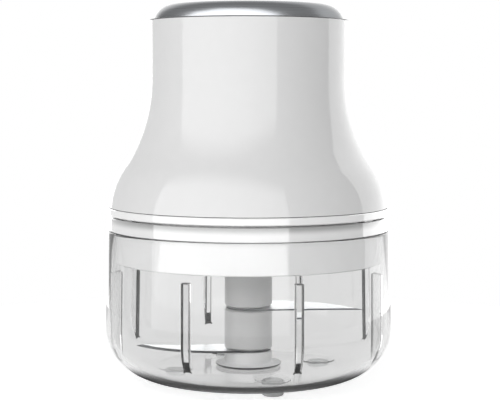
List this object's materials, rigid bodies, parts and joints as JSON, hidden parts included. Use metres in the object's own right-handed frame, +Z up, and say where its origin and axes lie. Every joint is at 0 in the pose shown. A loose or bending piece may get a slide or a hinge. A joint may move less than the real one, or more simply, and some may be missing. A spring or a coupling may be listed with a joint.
{
  "type": "mini food processor",
  "caption": "Cordless mini food processor: press-top motor head with planetary drive on a skirted lid, over a clear ribbed bowl with a lift-out blade hub on a steel pin.",
  "frame": {"origin": "on the surface the feet stand on, on the axis of the bowl", "axes": "+Z up along the axis of bowl, blades and motor; front faces -Y; charging port at the back, +Y"},
  "size_m": [0.0976, 0.0976, 0.1294],
  "materials": {
    "clear_plastic": "clear polished polycarbonate",
    "foot_rubber": "translucent soft rubber",
    "steel": "turned stainless steel",
    "bush_nylon": "natural nylon",
    "hub_plastic": "satin light grey plastic",
    "blade_steel": "ground stainless steel",
    "white_plastic": "glossy white ABS",
    "gasket_silicone": "translucent silicone",
    "black_plastic": "moulded black nylon",
    "bronze": "sintered bronze",
    "black_rubber": "nitrile rubber",
    "gear_nylon": "natural acetal",
    "brass": "cut brass",
    "copper_windings": "varnished copper on steel laminations",
    "zinc_steel": "zinc plated steel",
    "magnet": "ferrite",
    "grey_plastic": "moulded grey ABS",
    "cell_sleeve": "shrink sleeve over a lithium cell",
    "circuit_board": "green solder mask",
    "white_silicone": "soft white silicone",
    "red_plastic": "moulded acetal",
    "button_metal": "satin spun aluminium",
    "screw_steel": "blackened steel"
  },
  "bodies": {
    "bowl": {"bowl": "clear_plastic", "bowl_feet": "foot_rubber", "pivot_pin": "steel"},
    "bush": {"pivot_bush": "bush_nylon"},
    "blades": {"blade_hub": "hub_plastic", "lower_blade": "blade_steel", "upper_blade": "blade_steel"},
    "lid": {"lid": "white_plastic", "lid_gasket": "gasket_silicone"},
    "head": {"base_cover": "white_plastic", "motor_housing": "white_plastic", "gear_case": "black_plastic", "output_bush": "bronze", "shaft_seal": "black_rubber", "motor_can": "zinc_steel", "motor_magnets": "magnet", "motor_brushes": "bronze", "motor_bushes": "bronze", "motor_endcap": "black_plastic", "chassis": "grey_plastic", "battery_left": "cell_sleeve", "battery_right": "cell_sleeve", "battery_strap": "zinc_steel", "circuit_board": "circuit_board", "charge_socket": "steel", "switch_deck": "grey_plastic", "switch_body": "black_plastic", "button_spring": "steel", "base_screws": "screw_steel", "chassis_screws": "screw_steel", "motor_screws": "screw_steel", "board_screws": "screw_steel", "deck_screws": "screw_steel"},
    "output": {"output_shaft": "steel", "planet_carrier": "steel", "drive_coupling": "black_plastic"},
    "planet_1": {"planet_gear_1": "gear_nylon"},
    "planet_2": {"planet_gear_2": "gear_nylon"},
    "planet_3": {"planet_gear_3": "gear_nylon"},
    "armature": {"motor_armature": "copper_windings", "sun_pinion": "brass"},
    "button": {"button_cap": "button_metal", "button_base": "white_plastic", "button_screws": "screw_steel"},
    "plunger": {"switch_plunger": "red_plastic"},
    "plug": {"charge_plug": "white_silicone"}
  },
  "joints": [
    {"name": "lid_lift", "type": "slide", "parent": "bowl", "child": "lid", "axis": [0, 0, 1], "range_m": [0, 0.12]},
    {"name": "head_lift", "type": "slide", "parent": "lid", "child": "head", "axis": [0, 0, 1], "range_m": [0, 0.06]},
    {"name": "blade_lift", "type": "slide", "parent": "bowl", "child": "bush", "axis": [0, 0, 1], "range_m": [0, 0.06]},
    {"name": "blade_spin", "type": "hinge", "parent": "bush", "child": "blades", "pos_m": [0, 0, 0.0245], "axis": [0, 0, 1], "continuous": true},
    {"name": "drive_spin", "type": "hinge", "parent": "head", "child": "output", "pos_m": [0, 0, 0.0555], "axis": [0, 0, 1], "continuous": true},
    {"name": "motor_spin", "type": "hinge", "parent": "head", "child": "armature", "pos_m": [0, 0, 0.085], "axis": [0, 0, 1], "continuous": true},
    {"name": "planet_spin_1", "type": "hinge", "parent": "output", "child": "planet_1", "pos_m": [0, 0.0081, 0.0674], "axis": [0, 0, 1], "continuous": true},
    {"name": "planet_spin_2", "type": "hinge", "parent": "output", "child": "planet_2", "pos_m": [-0.00701, -0.00405, 0.0674], "axis": [0, 0, 1], "continuous": true},
    {"name": "planet_spin_3", "type": "hinge", "parent": "output", "child": "planet_3", "pos_m": [0.00701, -0.00405, 0.0674], "axis": [0, 0, 1], "continuous": true},
    {"name": "button_press", "type": "slide", "parent": "head", "child": "button", "axis": [0, 0, -1], "range_m": [0, 0.002], "stiffness_N_per_m": 900, "springref_m": -0.001, "deforming": ["button_spring"]},
    {"name": "plunger_press", "type": "slide", "parent": "head", "child": "plunger", "axis": [0, 0, -1], "range_m": [0, 0.0016]},
    {"name": "plug_pull", "type": "slide", "parent": "head", "child": "plug", "axis": [0, 1, 0], "range_m": [0, 0.015]}
  ],
  "couplings": [
    {"joint": "blade_lift", "follows": "lid_lift", "ratio": 0.5},
    {"joint": "blade_spin", "follows": "drive_spin", "ratio": 1},
    {"joint": "motor_spin", "follows": "drive_spin", "ratio": 4.5},
    {"joint": "planet_spin_1", "follows": "drive_spin", "ratio": -2.8},
    {"joint": "planet_spin_2", "follows": "drive_spin", "ratio": -2.8},
    {"joint": "planet_spin_3", "follows": "drive_spin", "ratio": -2.8},
    {"joint": "plunger_press", "follows": "button_press", "ratio": 0.8}
  ]
}
